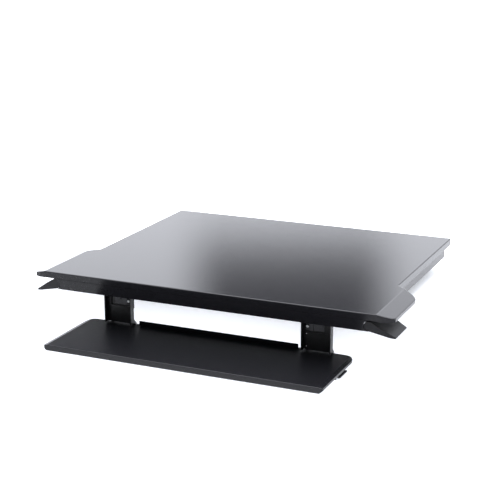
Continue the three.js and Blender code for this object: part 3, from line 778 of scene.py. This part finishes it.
def make_cables():
    for side_name, side in SIDES.items():
        route = [(side * x, y, z) for x, y, z in CABLE_ROUTE]
        stand_in(f"release_cable_{side_name}", tube(smooth_path(route, 8), CABLE_RADIUS))


# ---------------------------------------------------------------- screws

UPRIGHT_DEPTH = 0.016
UPRIGHT_SHEET = 0.0025
CLAMP_SCREW_INSET = 0.0115           # from the upright's inner edge
CLAMP_SCREW_Z = 0.006
CLAMP_SCREW_RADIUS = 0.0034
WEB_SCREW_INSET = 0.0086
WEB_SCREW_HEIGHTS = (-0.012, -0.042)
WEB_SCREW_RADIUS = 0.0014


def make_screws():
    for side_name, side in SIDES.items():
        make_upright_screws(side_name, side)


def make_upright_screws(side_name, side):
    """The clamp's screw in the window, and two small screws on the channel's web below it."""
    upright = f"upright_{side_name}"
    clamp = f"height_clamp_{side_name}"
    low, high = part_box(upright)
    inner_edge = min(abs(low.x), abs(high.x))
    channel_back = low.y + UPRIGHT_DEPTH
    clamp_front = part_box(clamp)[0].y
    place = (side * (inner_edge + CLAMP_SCREW_INSET), clamp_front + 0.0002, CLAMP_SCREW_Z)
    screw(f"clamp_screw_{side_name}", place, (0, -1, 0), CLAMP_SCREW_RADIUS, clamp)
    for number, z in enumerate(WEB_SCREW_HEIGHTS):
        place = (side * (inner_edge + WEB_SCREW_INSET), channel_back - UPRIGHT_SHEET, z)
        screw(f"web_screw_{side_name}_{number}", place, (0, -1, 0), WEB_SCREW_RADIUS, upright)


# ---------------------------------------------------------------- floor and light

FLOOR_STEP_Y = -0.030                # the raised part of the floor ends here, in front of the base
FLOOR_REACH = 30.0
STEP_HEIGHT = 0.7
STEP_ROUNDING = 0.004

FRONT_LIGHT = 0.45
WALL_LIGHT = 2.35
OVERHEAD_LIGHT = 6.0
OVERHEAD_FROM = (0.7, 0.95)          # sines of the elevations where it starts and is full
WALL_FROM = (-0.1, 0.6)              # the same for the wall, towards +Y
STUDIO_TINT = (0.92, 0.938, 1.0, 1)
CARD_LIGHT = 0.05                    # as a share of the wall's
CARD_BOTTOM = [math.sin(math.radians(degrees)) for degrees in (14.4, 16.0)]
CARD_HALF_WIDTH = (0.05, 0.10)
CARD_ACROSS = -67.9                  # the azimuth along the card, square to the one it stands at
CARD_TOP = [math.sin(math.radians(degrees)) for degrees in (30, 36)]


def make_floor():
    """A pale floor with one step: the base stands on the upper part, and the tray hangs past its edge."""
    edge = []
    for step in range(7):
        angle = math.pi / 2 * step / 6
        edge.append((
            FLOOR_STEP_Y + STEP_ROUNDING * (1 - math.sin(angle)), STEP_ROUNDING * (math.cos(angle) - 1)))
    floor_strip("floor_upper", [(FLOOR_REACH, 0.0), *edge, (FLOOR_STEP_Y, -STEP_HEIGHT)],
                paleness=0.84, glow=0.45)
    floor_strip("floor_lower", [(FLOOR_STEP_Y, -STEP_HEIGHT), (-FLOOR_REACH, -STEP_HEIGHT)],
                paleness=0.66, glow=0.0)


def floor_strip(name, profile, paleness, glow):
    """A strip of floor that follows a profile of (y, z) points."""
    bm = bmesh.new()
    rows = [[bm.verts.new((x, y, z)) for x in (-FLOOR_REACH, FLOOR_REACH)] for y, z in profile]
    grid_faces(bm, rows, closed=False)
    bmesh.ops.recalc_face_normals(bm, faces=bm.faces)
    mesh = bpy.data.meshes.new(name)
    bm.to_mesh(mesh)
    bm.free()
    mesh.materials.append(floor_finish(name + "_finish", paleness, glow))
    floor = bpy.data.objects.new(name, mesh)
    bpy.context.scene.collection.objects.link(floor)


def floor_finish(name, paleness, glow):
    """Pale matt paint. A glow keeps the shadows on it light."""
    shader = Shader(name)
    mottle = shader.noise(1.5, 2)
    shader.feed("Base Color", shader.colours(mottle, (paleness - 0.01,) * 3, (paleness,) * 3))
    shader.set(Roughness=0.7, Emission_Color=(0.9, 0.94, 1.0, 1), Emission_Strength=glow)
    return shader.material


def direction(azimuth, elevation):
    """The unit vector that points azimuth degrees to the left of +Y and elevation degrees up."""
    turn, rise = math.radians(azimuth), math.radians(elevation)
    return Vector((-math.sin(turn) * math.cos(rise), math.cos(turn) * math.cos(rise), math.sin(rise)))


def make_light():
    """A white studio: a strong light overhead, a wall brighter than the front, and a dark card on it.

    The card's reflection darkens the middle of the worksurface, where a display would stand.
    """
    world = bpy.data.worlds.new("studio")
    bpy.context.scene.world = world
    world.use_nodes = True
    sky = Nodes(world.node_tree)
    facing = sky.add("ShaderNodeTexCoord").outputs["Generated"]
    height = sky.add("ShaderNodeSeparateXYZ", {0: facing}).outputs["Z"]
    towards_wall = sky.along(facing, direction(0, 0))
    across_card = sky.along(facing, direction(CARD_ACROSS, 0))
    wall = sky.between(towards_wall, FRONT_LIGHT, WALL_LIGHT, *WALL_FROM, "SMOOTHSTEP")
    overhead = sky.between(height, 0.0, OVERHEAD_LIGHT, *OVERHEAD_FROM, "SMOOTHSTEP")
    from_middle = sky.add("ShaderNodeMath", {0: across_card}, operation="ABSOLUTE").outputs["Value"]
    card = sky.between(towards_wall, 0.0, 1.0, 0.0, 0.1)
    card = sky.product(card, sky.between(from_middle, 1.0, 0.0, *CARD_HALF_WIDTH, "SMOOTHSTEP"))
    card = sky.product(card, sky.between(height, 0.0, 1.0, *CARD_BOTTOM, "SMOOTHSTEP"))
    card = sky.product(card, sky.between(height, 1.0, 0.0, *CARD_TOP, "SMOOTHSTEP"))
    around_card = sky.between(card, 1.0, CARD_LIGHT, 0.0, 1.0)
    background = world.node_tree.nodes["Background"]
    background.inputs["Color"].default_value = STUDIO_TINT
    strength = sky.product(sky.total(wall, overhead), around_card)
    world.node_tree.links.new(strength, background.inputs["Strength"])
    bpy.context.scene.view_settings.view_transform = "Standard"


make_worksurface()
make_fascia()
make_tray()
make_rounded_parts()
make_rollers()
make_rods()
make_cables()
make_screws()
make_floor()
make_light()
